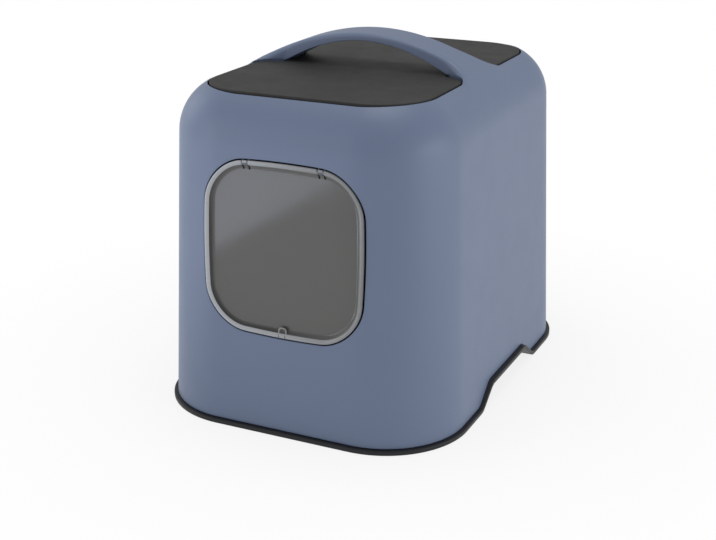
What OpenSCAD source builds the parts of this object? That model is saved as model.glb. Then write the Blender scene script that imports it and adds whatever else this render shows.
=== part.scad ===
// Hooded litter box: drafted hood with an arched handle and a flat roof panel,
// a dished swing flap in the front wall, and a pan that the hood stands on.
// Frame: X to the right, Y to the rear, Z up, origin on the floor under the middle.

/* [Hood] */
// Width of the hood at its lower edge
hood_w = 390; // [380:1:400]
// Depth of the hood at its lower edge
hood_d = 523.9; // [510:1:540]
// Plan radius of the hood's corners at its lower edge
hood_r = 105; // [95:1:115]
// Inward slope of the walls, millimetres per millimetre of height
wall_slope = 0.0411; // [0.03:0.001:0.05]
// Height at which the shoulder curve would close
hood_top = 415.3; // [405:1:425]
// Radius of the shoulder between wall and roof
shoulder_r = 67.9; // [60:1:75]
// Wall thickness of the hood
hood_wall = 2.8; // [2:0.1:4]

/* [Roof panel] */
// Half width of the panel
panel_hw = 143.8; // [138:1:146]
// Half depth of the panel
panel_hd = 212; // [205:1:215]
// Plan radius of the panel's corners
panel_r = 66.5; // [60:1:70]
// Height of the panel's upper face
panel_z = 408.2; // [406:0.1:409]
// Gap between the panel and the hood
panel_gap = 2; // [1.5:0.1:3]

/* [Handle] */
// Height of the top of the handle
handle_top = 452; // [445:1:460]
// Thickness of the handle at its middle
handle_t = 10; // [8:1:12]
// Half of the handle's front to back size at its middle
handle_hd = 27.5; // [24:1:30]
// Half length of the handle, along the width of the box
handle_hl = 150; // [146:1:152]

/* [Door] */
// Half width of the flap
flap_hw = 104.6; // [100:0.5:106]
// Half height of the flap
flap_hh = 105.9; // [100:0.5:107]
// Corner radius of the flap
flap_r = 61.6; // [55:1:65]
// Height of the middle of the flap
flap_z = 232.1; // [228:1:236]
// Gap between the flap and the hood
flap_gap = 1.75; // [1.5:0.05:2.5]
// Width of the light bead along the flap's edge
bead_w = 7.3; // [6:0.1:8]
// Depth of the dish inside the bead
dish_depth = 4.5; // [3:0.5:6]
// Wall thickness of the flap
flap_t = 1.8; // [1.5:0.1:2.5]
// Distance of each hinge from the middle of the flap
hinge_x = 49; // [40:1:55]
// Radius of the hinge pins
pin_r = 1.2; // [1:0.1:1.3]

/* [Tray] */
// Thickness of the ledge that the hood stands on
ledge_t = 6; // [5:0.5:7]
// How far the ledge stands out beyond the hood
ledge_out = 5.25; // [4:0.25:6]
// Height of the pan's walls
pan_h = 112; // [90:1:125]
// Height of the grip notch under the ledge
notch_h = 25; // [20:1:28]
// Half width of the notch at its top
notch_top_hw = 68; // [60:1:75]
// Half width of the notch at the floor
notch_foot_hw = 103; // [95:1:110]

/* [Hidden] */
$fn = 64;
corner_steps = 9;     // flat facets in each lofted plan corner
shoulder_steps = 9;   // flat facets up the shoulder curve
eps = 0.01;
past = 60;            // length of cutters, well past what they cut

hood_foot = 8;        // height at which the hood's base sizes are measured
seat_gap = 0.4;       // clearance between the ledge and the hood's edge
draft = atan(wall_slope);
shoulder_z = hood_top - shoulder_r;
shoulder_inset = wall_slope * (shoulder_z - hood_foot) + shoulder_r / cos(draft);

panel_y = -1;         // middle of the panel along Y
panel_t = 2.6;
skirt_t = 2.2;
collar_t = 2.5;
collar_foot = 400;    // lower end of the collar round the roof opening
flange_t = 2.4;
flange_out = 2.4;     // how far the flange grips under the collar
nib_l = 14;
nib_out = 1.5;
nib_h = 1.4;
nib_z = 402;
nib_play = 0.1;
nib_x = 60;           // places of the nibs along the front and rear edges
nib_y = 120;          // places of the nibs along the side edges

handle_sag = 0.0021;  // drop of the handle's upper face per square millimetre of x
belly_sag = 0.0024;   // drop of its underside
flare_start = 112;    // distance from the middle where the feet start to widen
flare_gain = 0.0245;  // widening per square millimetre beyond that
foot_in = 115;        // where the feet start to pass down through the roof opening

flange_front = -0.8;  // front of the flap's edge flange, inside the hood's surface
bead_front = 0.9;     // front of the bead, just proud of the hood
hinge_v = 101;        // hinge axis above the middle of the flap
hinge_w = -1.6;       // hinge axis behind the hood's surface
tongue_w = 5.3;
slit_w = 2.2;
slit_foot = 93;       // lower end of the hinge slits above the middle of the flap
slit_h = 20;
bead_round = 0.6;     // step that rounds the bead's edges
butt_gap = 1.2;       // butt joint in the bead, at the bottom
lug_t = 1.4;
lug_r = 2.2;
knuckle_r = 2.4;
run_gap = 0.05;       // running clearance on the pins
bracket_h = 6.5;      // the brackets' base plates stay on the flat part of the wall
bracket_t = 2.4;
bracket_side = 3;     // how far a base plate reaches past the slits
bracket_lift = 0.8;   // from the door opening up to a base plate
lug_back = 1.5;       // how far the lugs stand back behind a base plate

magnet = [10, 5, 3];
boss_hw = 8;
boss_hh = 5;
boss_v = -99.5;       // middle of the magnet housing
sill_v = -109;        // top of the sill magnet's holder
holder = [18, 10, 6];
holder_back = 1.5;    // wall behind the sill magnet

pan_wall = 2.5;
pan_floor = 3;
pan_hw = 178;         // half width of the pan's outside at the floor
pan_hd = 244.5;
pan_r = 90;
pan_flare = 5;        // how much wider the pan is at its top
rib_in = 4.7;         // locating rib, inwards from the hood's outer base line
rib_t = 2.2;
rib_h = 10;
notch_round = 12;

cassette = [156, 116, 17.6];
cassette_wall = 2;
vent = [9, 3];        // width and height of the slots in the cassette's walls
vent_step = 15;
filter_size = [149, 109, 10];
filter_lift = 1;      // from the grille up to the filter
grip_l = 12;          // ribs that hold the filter
grip_x = 45;
grip_y = 30;
grille_z = 385.2;
grille_t = 2.4;
grille_in = 2;        // how far the grille's long edges lie inside the cassette's
slot = [6, 44];
slot_step = 11;
slot_y = 26;
catch = [12, 1.8, 8];
catch_gap = 0.4;
arm_x = 60;           // the two arms that carry the grille's hinge stubs
arm_w = 13.2;
arm_gap = 0.4;
knob_r = 3;
ear = [3, 8, 11.5];
ear_drop = 3.2;       // from the grille's axis down to the lower end of the ears
filter_hinge = [62, grille_z + grille_t / 2];   // Y and Z of the grille's axis
stub_r = 1.6;
stub_l = 2.9;

hood_col = [0.44, 0.49, 0.58];
panel_col = [0.26, 0.26, 0.27];
flap_col = [0.40, 0.40, 0.41];
bead_col = [0.68, 0.69, 0.70];
tray_col = [0.13, 0.13, 0.14];
magnet_col = [0.55, 0.55, 0.56];

// ---- shared outlines and solids ----

function arc(cx, cy, r, a0, a1, n) = [
    for (i = [0:n]) let (a = a0 + (a1 - a0) * i / n) [cx + r * cos(a), cy + r * sin(a)]
];

function outline(hw, hd, r, n) = concat(
    arc(hw - r, hd - r, r, 0, 90, n),
    arc(r - hw, hd - r, r, 90, 180, n),
    arc(r - hw, r - hd, r, 180, 270, n),
    arc(hw - r, r - hd, r, 270, 360, n)
);

// Closed solid through rounded rectangles, each [half width, half depth, radius, z].
module loft(rings) {
    count = 4 * (corner_steps + 1);
    last = len(rings) - 1;
    points = [
        for (g = rings) for (p = outline(g[0], g[1], g[2], corner_steps)) [p[0], p[1], g[3]]
    ];
    sides = [
        for (j = [0:last - 1]) for (i = [0:count - 1])
            let (a = j * count + i, b = j * count + (i + 1) % count)
            each [[a, a + count, b + count], [a, b + count, b]]
    ];
    caps = [[for (i = [0:count - 1]) i], [for (i = [count - 1:-1:0]) last * count + i]];
    polyhedron(points = points, faces = concat(sides, caps), convexity = 4);
}

module rounded(hw, hd, r) {
    square([2 * (hw - r), 2 * hd], center = true);
    square([2 * hw, 2 * (hd - r)], center = true);
    for (sx = [-1, 1], sy = [-1, 1]) translate([sx * (hw - r), sy * (hd - r)]) circle(r);
}

// ---- hood ----

// Outer form of the hood moved inwards by t: straight drafted wall, then the shoulder.
module hood_form(t, foot) {
    function wall_ring(z) = let (inset = wall_slope * (z - hood_foot)) [
        hood_w / 2 - inset - t / cos(draft), hood_d / 2 - inset - t / cos(draft),
        hood_r - inset / 2 - t, z
    ];
    r = shoulder_r - t;
    edge = wall_slope * (shoulder_z - hood_foot);
    shoulder = [for (i = [0:shoulder_steps]) let (
        a = draft + (90 - draft) * i / shoulder_steps,
        inset = shoulder_inset - r * cos(a)
    ) [
        hood_w / 2 - inset, hood_d / 2 - inset,
        hood_r - edge / 2 - t - (inset - edge - t), shoulder_z + r * sin(a)
    ]];
    loft(concat([wall_ring(foot)], shoulder));
}

// Path of the ledge's underside along Y, flat on the floor with a raised notch.
function notch_path(lift) = let (
    slope = atan(notch_h / (notch_foot_hw - notch_top_hw)),
    tangent = notch_round * tan(slope / 2),
    rise = concat(
        arc(-notch_foot_hw - tangent, notch_round, notch_round, -90, slope - 90, 4),
        arc(-notch_top_hw + tangent, notch_h - notch_round, notch_round, 90 + slope, 90, 4)
    )
) concat(
    [for (p = rise) [p[0], p[1] + lift]],
    [for (i = [len(rise) - 1:-1:0]) [-rise[i][0], rise[i][1] + lift]]
);

// Everything between two lifts of the notch path, across the whole width.
module notch_slab(low, high) {
    reach = hood_d;
    under = notch_path(low);
    over = notch_path(high);
    rotate([90, 0, 90])
        linear_extrude(2 * reach, center = true)
            polygon(concat(
                [[-reach, low]], under, [[reach, low], [reach, high]],
                [for (i = [len(over) - 1:-1:0]) over[i]], [[-reach, high]]
            ));
}

module panel_rect() {
    translate([0, panel_y])
        rounded(panel_hw + panel_gap, panel_hd + panel_gap, panel_r + panel_gap);
}

// Plan of the handle: a strap that widens into a foot at each end.
module handle_plan(grow) {
    xs = [for (i = [0:10]) flare_start + (handle_hl - flare_start) * i / 10];
    half = [for (x = xs) [x, handle_hd + grow + flare_gain * pow(x - flare_start, 2)]];
    right = concat(half, [for (i = [10:-1:0]) [half[i][0], -half[i][1]]]);
    polygon(concat(right, [for (p = right) [-p[0], -p[1]]]));
}

module roof_opening() {
    difference() {
        panel_rect();
        difference() {
            handle_plan(0);
            square([2 * foot_in, hood_d], center = true);
        }
    }
}

// Side view of the handle, lowered by t. Its feet end at the collar's lower end.
module handle_arch(t) {
    xs = [for (i = [-15:15]) i * handle_hl / 15];
    top = [for (x = xs) [x, handle_top - t - handle_sag * x * x]];
    under = [
        for (i = [30:-1:0])
            [xs[i], max(collar_foot - t, handle_top - handle_t - t - belly_sag * xs[i] * xs[i])]
    ];
    rotate([90, 0, 0]) linear_extrude(hood_d, center = true) polygon(concat(top, under));
}

module handle() {
    difference() {
        intersection() {
            handle_arch(0);
            linear_extrude(hood_top + past) handle_plan(0);
        }
        intersection() {
            handle_arch(hood_wall);
            linear_extrude(hood_top + past) handle_plan(-hood_wall);
        }
    }
}

module collar() {
    intersection() {
        hood_form(0, hood_foot);
        translate([0, 0, collar_foot])
            linear_extrude(hood_top - collar_foot)
                difference() {
                    offset(r = collar_t) roof_opening();
                    roof_opening();
                }
    }
}

// Snap nibs round the panel: "at" is how far from its edge they start, reach how far they go.
module nibs(at, reach, z) {
    out = at + reach / 2;
    translate([0, panel_y, z]) linear_extrude(nib_h)
        for (s = [-1, 1], t = [-1, 1]) {
            translate([t * nib_x, s * (panel_hd + out)]) square([nib_l, abs(reach)], center = true);
            translate([s * (panel_hw + out), t * nib_y]) square([abs(reach), nib_l], center = true);
        }
}

// Puts its children into the door's own frame: x across, y up the wall, z outwards.
module door_frame() {
    front = -hood_d / 2 + wall_slope * (flap_z - hood_foot);
    translate([0, front, flap_z]) rotate([90 - draft, 0, 0]) children();
}

module sill_holder() {
    translate([-holder[0] / 2, sill_v - holder[1], -hood_wall - holder[2]])
        difference() {
            cube([holder[0], holder[1], holder[2] + eps]);
            translate([(holder[0] - magnet[0]) / 2, holder[1] - magnet[1], holder_back])
                cube([magnet[0], magnet[1] + eps, magnet[2]]);
        }
}

module hood() {
    color(hood_col) union() {
        difference() {
            union() {
                difference() {
                    hood_form(0, ledge_t + seat_gap);
                    hood_form(hood_wall, 0);
                }
                collar();
            }
            translate([0, 0, collar_foot - 10]) linear_extrude(past) roof_opening();
            door_frame()
                linear_extrude(past, center = true)
                    rounded(flap_hw + flap_gap, flap_hh + flap_gap, flap_r + flap_gap);
            notch_slab(-past, ledge_t + seat_gap);
        }
        handle();
        nibs(panel_gap + eps, -nib_out, nib_z);
        door_frame() sill_holder();
    }
}

module roof_panel() {
    color(panel_col) {
        translate([0, 0, panel_z - panel_t])
            linear_extrude(panel_t) offset(delta = -panel_gap) roof_opening();
        translate([0, 0, collar_foot])
            linear_extrude(panel_z - panel_t - collar_foot)
                difference() {
                    offset(delta = -panel_gap) roof_opening();
                    offset(delta = -panel_gap - skirt_t) roof_opening();
                }
        translate([0, 0, collar_foot - flange_t])
            linear_extrude(flange_t)
                difference() {
                    offset(delta = flange_out) roof_opening();
                    offset(delta = -panel_gap - skirt_t) roof_opening();
                }
        nibs(-eps, nib_out, nib_z + nib_h + nib_play);
    }
}

// ---- door ----

module hinge_slits() {
    for (s = [-1, 1], side = [-1, 1])
        translate([s * hinge_x + side * (tongue_w + slit_w) / 2, slit_foot + slit_h / 2, 0])
            cube([slit_w, slit_h, past], center = true);
}

module boss_plan(shrink) {
    translate([0, boss_v]) rounded(boss_hw - shrink, boss_hh - shrink, boss_hh - 0.5 - shrink);
}

module door_flap() {
    lip = flange_front - flap_t;
    deep = flange_front - dish_depth;
    inner_hw = flap_hw - bead_w;
    inner_hh = flap_hh - bead_w;
    inner_r = flap_r - bead_w;
    grow = flap_t * (sqrt(2) - 1);
    color(flap_col) door_frame() difference() {
        union() {
            translate([0, 0, lip]) linear_extrude(flap_t) rounded(flap_hw, flap_hh, flap_r);
            loft([
                [inner_hw - dish_depth + grow, inner_hh - dish_depth + grow,
                    inner_r - dish_depth + grow, deep - flap_t],
                [inner_hw + grow, inner_hh + grow, inner_r + grow, lip]
            ]);
            translate([0, 0, deep - flap_t])
                linear_extrude(dish_depth + flap_t + flange_front + 0.5) boss_plan(0);
            for (s = [-1, 1]) translate([s * hinge_x, hinge_v, hinge_w])
                rotate([0, 90, 0]) cylinder(r = knuckle_r, h = tongue_w, center = true);
        }
        difference() {
            loft([
                [inner_hw - dish_depth, inner_hh - dish_depth, inner_r - dish_depth, deep],
                [inner_hw, inner_hh, inner_r, flange_front],
                [inner_hw, inner_hh, inner_r, 10]
            ]);
            linear_extrude(past, center = true) boss_plan(0);
        }
        translate([-magnet[0] / 2, boss_v - magnet[1] / 2, deep - flap_t - eps])
            cube([magnet[0], magnet[1], magnet[2] + eps]);
        hinge_slits();
        for (s = [-1, 1]) translate([s * hinge_x, hinge_v, hinge_w])
            rotate([0, 90, 0]) cylinder(r = pin_r + run_gap, h = tongue_w + slit_w, center = true);
    }
}

// Rounded bead on the flap's edge, with a butt joint at the bottom.
module flap_rim() {
    color(bead_col) door_frame() difference() {
        union() {
            translate([0, 0, flange_front])
                linear_extrude(bead_front - flange_front - bead_round) bead_plan(0);
            translate([0, 0, bead_front - bead_round])
                linear_extrude(bead_round) bead_plan(bead_round);
        }
        linear_extrude(past, center = true) boss_plan(0);
        hinge_slits();
        translate([0, bead_w / 2 - flap_hh, 0]) cube([butt_gap, 2 * bead_w, past], center = true);
        for (s = [-1, 1]) translate([s * hinge_x, hinge_v, hinge_w])
            rotate([0, 90, 0]) cylinder(r = knuckle_r + eps, h = tongue_w + eps, center = true);
    }
}

module bead_plan(shrink) {
    difference() {
        rounded(flap_hw - shrink, flap_hh - shrink, flap_r - shrink);
        rounded(flap_hw - bead_w + shrink, flap_hh - bead_w + shrink, flap_r - bead_w + shrink);
    }
}

// Base plate behind the wall above the door, and two lugs that reach to the hinge axis.
module hinge_bracket(side) {
    plate_hw = tongue_w / 2 + slit_w + bracket_side;
    edge = flap_hh + flap_gap;
    back = -hood_wall - bracket_t;
    color(hood_col) door_frame() translate([side * hinge_x, 0, 0]) {
        translate([-plate_hw, edge + bracket_lift, back])
            cube([2 * plate_hw, bracket_h, bracket_t]);
        for (s = [-1, 1])
            translate([s * (tongue_w + slit_w) / 2 - lug_t / 2, 0, 0])
                rotate([90, 0, 90]) linear_extrude(lug_t) difference() {
                    union() {
                        translate([hinge_v, hinge_w]) circle(lug_r);
                        polygon([
                            [hinge_v - 1.6, hinge_w - 1.5], [hinge_v + 1.4, hinge_w - 0.6],
                            [edge - 0.3, -hood_wall - 0.1], [edge + 4, -hood_wall - 0.1],
                            [edge + 4, back - lug_back], [hinge_v + 1.5, back - lug_back]
                        ]);
                    }
                    translate([hinge_v, hinge_w]) circle(pin_r);
                }
    }
}

module hinge_pin(side) {
    color(magnet_col) door_frame() translate([side * hinge_x, hinge_v, hinge_w])
        rotate([0, 90, 0]) cylinder(r = pin_r, h = tongue_w + slit_w + lug_t, center = true);
}

module flap_magnet() {
    color(magnet_col) door_frame()
        translate([-magnet[0] / 2, boss_v - magnet[1] / 2, flange_front - dish_depth - flap_t])
            cube(magnet);
}

module sill_magnet() {
    color(magnet_col) door_frame()
        translate([-magnet[0] / 2, sill_v - magnet[1], holder_back - hood_wall - holder[2]])
            cube(magnet);
}

// ---- odour filter under the roof panel ----

// Ribs between the cassette's walls and the filter.
module grips() {
    inside = [cassette[0] - 2 * cassette_wall, cassette[1] - 2 * cassette_wall];
    rib = (inside[0] - filter_size[0]) / 2;
    for (s = [-1, 1]) {
        for (x = [-grip_x, 0, grip_x])
            translate([x, s * (filter_size[1] + rib) / 2]) square([grip_l, rib], center = true);
        for (y = [-grip_y, grip_y])
            translate([s * (filter_size[0] + rib) / 2, y]) square([rib, grip_l], center = true);
    }
}

module filter_cassette() {
    top = panel_z - panel_t;
    color(panel_col) difference() {
        union() {
            translate([0, 0, top - cassette[2]]) linear_extrude(cassette[2]) {
                difference() {
                    square([cassette[0], cassette[1]], center = true);
                    square([cassette[0] - 2 * cassette_wall, cassette[1] - 2 * cassette_wall], center = true);
                }
                grips();
            }
            for (s = [-1, 1], side = [-1, 1])
                translate([
                    s * arm_x + side * (arm_w / 2 + arm_gap + ear[0] / 2),
                    (cassette[1] + ear[1]) / 2 - eps, filter_hinge[1] - ear_drop + ear[2] / 2
                ]) cube(ear, center = true);
        }
        for (i = [-4:4], s = [-1, 1])
            translate([i * vent_step, s * cassette[1] / 2, top - vent[1] - 1])
                cube([vent[0], 3 * cassette_wall, vent[1]], center = true);
        translate([0, filter_hinge[0], filter_hinge[1]])
            rotate([0, 90, 0]) cylinder(r = stub_r + run_gap, h = 2 * cassette[0], center = true);
    }
}

module carbon_filter() {
    color([0.1, 0.1, 0.1])
        translate([-filter_size[0] / 2, -filter_size[1] / 2, grille_z + grille_t + filter_lift])
            cube(filter_size);
}

// Slotted plate under the filter, with a catch in front and two hinge arms at the rear.
module filter_grille() {
    hw = cassette[0] / 2 - 1;
    hd = cassette[1] / 2 - grille_in;
    front = -cassette[1] / 2 - catch_gap - catch[1];
    color(panel_col) {
        translate([0, 0, grille_z]) linear_extrude(grille_t) {
            difference() {
                square([2 * hw, 2 * hd], center = true);
                for (i = [-6:6], s = [-1, 1])
                    translate([i * slot_step, s * slot_y]) square(slot, center = true);
            }
            translate([-catch[0] / 2, front]) square([catch[0], 1 - hd - front]);
        }
        translate([-catch[0] / 2, front, grille_z]) cube(catch);
        for (s = [-1, 1]) translate([s * arm_x, 0, filter_hinge[1]]) {
            translate([0, (hd + filter_hinge[0]) / 2, 0])
                cube([arm_w, filter_hinge[0] - hd + 1, grille_t], center = true);
            translate([0, filter_hinge[0], 0]) rotate([0, 90, 0]) {
                cylinder(r = knob_r, h = arm_w, center = true);
                cylinder(r = stub_r, h = arm_w + 2 * stub_l, center = true);
            }
        }
    }
}

// ---- tray ----

module litter_tray() {
    ledge_hw = hood_w / 2 + ledge_out;
    ledge_hd = hood_d / 2 + ledge_out;
    rib_hw = hood_w / 2 - rib_in;
    rib_hd = hood_d / 2 - rib_in;
    color(tray_col) difference() {
        union() {
            loft([
                [pan_hw, pan_hd, pan_r, 0],
                [pan_hw + pan_flare, pan_hd + pan_flare, pan_r + pan_flare, pan_h]
            ]);
            intersection() {
                linear_extrude(notch_h + 30)
                    rounded(ledge_hw, ledge_hd, hood_r + ledge_out);
                notch_slab(0, ledge_t);
            }
            intersection() {
                linear_extrude(notch_h + 30) difference() {
                    rounded(rib_hw, rib_hd, hood_r - rib_in);
                    rounded(rib_hw - rib_t, rib_hd - rib_t, hood_r - rib_in - rib_t);
                }
                notch_slab(ledge_t - 1, ledge_t + rib_h);
            }
        }
        loft([
            [pan_hw - pan_wall, pan_hd - pan_wall, pan_r - pan_wall, pan_floor],
            [pan_hw + pan_flare - pan_wall, pan_hd + pan_flare - pan_wall,
                pan_r + pan_flare - pan_wall, pan_h + eps]
        ]);
    }
}

litter_tray();
hood();
roof_panel();
door_flap();
flap_rim();
hinge_bracket(-1);  // hinge_bracket_left
hinge_bracket(1);  // hinge_bracket_right
hinge_pin(-1);  // hinge_pin_left
hinge_pin(1);  // hinge_pin_right
flap_magnet();
sill_magnet();
filter_cassette();
carbon_filter();
filter_grille();
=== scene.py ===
import math

import bmesh
import bpy
import numpy as np
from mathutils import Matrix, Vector
from mathutils.geometry import delaunay_2d_cdt

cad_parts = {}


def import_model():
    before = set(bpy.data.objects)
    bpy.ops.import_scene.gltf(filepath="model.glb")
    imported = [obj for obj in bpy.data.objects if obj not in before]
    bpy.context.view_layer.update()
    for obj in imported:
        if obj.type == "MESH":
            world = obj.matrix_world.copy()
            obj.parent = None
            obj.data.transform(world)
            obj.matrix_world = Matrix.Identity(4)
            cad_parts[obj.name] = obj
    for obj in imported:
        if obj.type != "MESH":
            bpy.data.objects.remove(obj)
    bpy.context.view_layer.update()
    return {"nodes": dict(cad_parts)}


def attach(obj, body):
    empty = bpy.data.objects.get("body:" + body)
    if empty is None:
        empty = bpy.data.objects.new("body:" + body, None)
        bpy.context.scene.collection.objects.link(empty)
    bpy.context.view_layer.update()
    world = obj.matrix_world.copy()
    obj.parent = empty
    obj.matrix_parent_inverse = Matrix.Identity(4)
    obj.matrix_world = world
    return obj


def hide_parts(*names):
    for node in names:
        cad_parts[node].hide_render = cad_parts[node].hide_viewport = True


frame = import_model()

# Hooded litter box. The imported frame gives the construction; this script gives its visible
# pieces smooth moulded meshes, materials, a plain floor, soft light and the camera.
# Lengths are in millimetres in the frame's axes until a mesh is made.

MM = 0.001

# ---- mesh building ----
FILL_CLEAR = 1.6  # how far a filling's inner points keep off its outlines
SAME_POINT = 1e-5  # distance at which the triangulation takes two points for one
SLIVER = 0.004  # triangles lower than this are dropped
WELD = 2e-6  # in metres: points as close as this become one
COLLAPSE = 1e-6  # in metres: edges as short as this are taken out
CAP_INSET = 0.3  # how far inside a block's rounding its front face begins
CORNER_LIMIT = 2.2  # a path's rounding reaches at most 1 / this of the way along a side
SUPPORT = 0.8  # width of the strip that keeps a rounding's shading off the next face

# ---- hood ----
HOOD_HW = 195.0  # half width at the lower edge
HOOD_HD = 261.95  # half depth at the lower edge
HOOD_R = 105.0  # plan radius of its corners
BASE_Z = 8.0  # height at which those three are measured
SLOPE = 0.0411  # inward slope of the walls
HOOD_TOP = 415.3  # where the shoulder curve would close
SHOULDER_R = 67.9
WALL = 2.8
DRAFT = math.atan(SLOPE)
LEAN_SIN, LEAN_COS = math.sin(DRAFT), math.cos(DRAFT)
SHOULDER_Z = HOOD_TOP - SHOULDER_R
EDGE_INSET = SLOPE * (SHOULDER_Z - BASE_Z)
SHOULDER_INSET = EDGE_INSET + SHOULDER_R / LEAN_COS
SHOULDER_CORNER = HOOD_R + EDGE_INSET / 2  # corner radius plus inset, all over the shoulder
JOIN_ANGLE = math.radians(40)  # where the shoulder's grid meets the roof mesh
LOW_TOP = 62.0  # top of the part of the wall that follows the notches
EDGE_ROUND = 0.9  # rounding of the hood's lower edge
SIDE_HD = HOOD_HD - HOOD_R  # half length of the sides' straight part

# ---- tray ----
LEDGE_T = 6.0
LEDGE_OUT = 5.25  # how far the ledge stands out beyond the hood
LEDGE_ROUND = 1.5
SEAT_GAP = 0.4
NOTCH_H = 24.0
NOTCH_TOP = 64.5  # half width of the notch at its top
NOTCH_FOOT = 99.5  # half width of the notch at the floor
NOTCH_ROUND = 20.0
PAN_SIZE = (178.0, 244.5, 90.0)  # half width, half depth and corner radius at the floor
PAN_H = 112.0
PAN_FLARE = 5.0
PAN_WALL = 2.5
PAN_FLOOR = 3.0
PAN_FILLET = 14.0  # rounding between the pan's floor and walls
PAN_LIP = 0.8  # bevel of the pan's upper edge
PAN_MID = 60.0  # height of a row of points half way up the walls
RIB_IN = 4.7  # the rib inside the hood's edge: how far in, thickness and height
RIB_T = 2.2
RIB_H = 10.0
RIB_ROUND = 0.5  # bevel of its upper edges

# ---- roof opening, panel and handle ----
PANEL_HW = 143.8
PANEL_HD = 212.0
PANEL_R = 66.5
PANEL_Y = -1.0
PANEL_Z = 408.2
PANEL_GAP = 2.0
PANEL_T = 2.6
PANEL_ROUND = 1.2
SKIRT_T = 2.2
SKIRT_FOOT = 397.6
COLLAR_FOOT = 400.0
COLLAR_T = 2.5
RIM_ROUND = 1.1  # rounding of the hood's edge round the panel
HANDLE_TOP = 451.0
HANDLE_T = 9.0
HANDLE_HD = 27.5
HANDLE_SAG = 0.0019  # drop of the handle's top per square millimetre of x
HANDLE_END = 139.0  # where the handle's top begins to run into the shoulder
HANDLE_END_RUN = 18.0  # and over what length it does
HANDLE_SIDE = 52.0  # the same in front of the handle and behind it
HANDLE_SIDE_RUN = 16.0
BELLY_SAG = 0.0027  # drop of its underside
BELLY_FOOT = 408.3  # level at which the underside runs out over the panel
BELLY_SOFT = 2.5  # how softly it does so
FOOT_X = 118.5  # where the underside has come down to the collar
FOOT_FALL = 7.0  # length of its last drop
HANDLE_ROUND = 5.0
FOOT_ROUND = 9.0  # rounding of the handle's edges at its feet
FOOT_ROUND_X = 98.0  # where the rounding begins to grow towards the feet
FOOT_ROUND_RUN = 30.0  # and over what length it does
BELLY_ROUND = 0.8
REAR_ROUND = 2.0  # rounding of the handle's rear edges
FRONT_FLARE = (108.0, 42.0, 17.0)  # where the feet widen, over what length, by how much
REAR_FLARE = (92.0, 60.0, 14.0)
BITE_X = 115.0  # where the feet pass down through the opening
BITE_CLEAR = 2.0  # the panel's outline leaves out the handle's edge up to here beyond that
FOOT_GAP = 1.4  # extra gap between the panel and the feet
JUNCTION = 24.0  # length of the rounding where handle and roof edge meet
FADE_LENGTH = 16.0  # length over which the handle's rounding runs out
LIP_FOOT = 1.9  # height over the panel at which the feet end over a shadow groove
LIP_DROP = 2.2  # the least thickness of the roof's edge over that groove
LIP_ROUND = 0.5
LIP_LEAST = 0.4  # the least height of wall under a lip
GROOVE = 2.6  # depth of that groove
GROOVE_RUN = 4.0  # height of wall at which the groove has its full depth
GROOVE_FALL = 0.02  # fall of its ceiling
TURN_LEAST = 0.98  # cosine of the least angle through which the edge is rounded

# ---- door ----
# Heights here are along the wall from the door's middle, and levels are outwards from the wall.
FLAP_HW = 104.6
FLAP_HH = 105.9
FLAP_R = 52.6  # corner radius before the sides are drawn into curves
FLAP_Z = 232.1
FLAP_GAP = 1.75
DOOR_ROUND = 1.0  # rounding of the hood's edge round the door
BEAD_FRONT = 0.9
FLANGE_FRONT = -0.8
DISH_DEPTH = 4.5
DISH_ROUND = 1.3  # rounding at the ends of the dish's slope
PLATE_INSET = 24.0  # where the flap's flat middle faces begin
FLAP_T = 1.8
HINGE_X = 49.0
TONGUE_W = 5.3
SLIT_W = 2.2
SLIT_FOOT = 93.0
SLIT_HH = 10.0  # half height of a slit's cutter
SLIT_R = 0.3
BOSS_HW = 6.0  # half width and height of the visible magnet housing
BOSS_HH = 6.0
BOSS_R = 5.0
BOSS_AT = -98.5  # height of its middle
BOSS_FRONT = -1.1
BOSS_ROUND = 0.7
BOSS_WALL = 2.0  # width of its front round the dent
DENT_R = 3.8
DENT_DEPTH = 0.5
BOSS_MARGIN = 0.1  # how far round the housing its own look reaches
BOSS_SKIN = 0.45  # and how far down from its front
MAGNET = (10.0, 5.0, 3.0)
MAGNET_V = -99.5  # height of its pocket's middle
MAGNET_R = 0.2
CUT_BACK = -20.0  # levels between which a cutter passes through everything
CUT_FRONT = 10.0
CUT_EXTRA = 1.0  # how far the magnet's cutter stands out behind
CUT_ROUND = 0.1  # rounding of the cutters' front edges
FINE_ROUND = 0.05
HINGE_V = 101.0
HINGE_W = -1.6
KNUCKLE_R = 2.4
PIN_R = 1.2
PIN_PLAY = 0.05
BEAD_SLIT_W = 1.4
RING_W = 5.6  # width of the bead
BEAD_PATH = (  # its section, as inset and level
    (0, FLANGE_FRONT), (0.1, BEAD_FRONT - 0.4), (1.7, BEAD_FRONT), (3.7, BEAD_FRONT - 0.5),
    (RING_W, FLANGE_FRONT))
BEAD_ROUND = 1.1
DISH_START = RING_W - 0.3  # inset at which the dish's slope begins
MARK_X = 4.2  # the two marks across the bead over the magnet housing
MARK_W = 1.3
MARK_T = 1.2
MARK_R = 0.1
MARK_HH = 7.3  # half height of their cutters
BULGE = 0.045  # how much the door's straight sides are drawn into curves
DOOR_Y = -HOOD_HD + SLOPE * (FLAP_Z - BASE_Z)


# ---------------------------------------------------------------- mesh building

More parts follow.
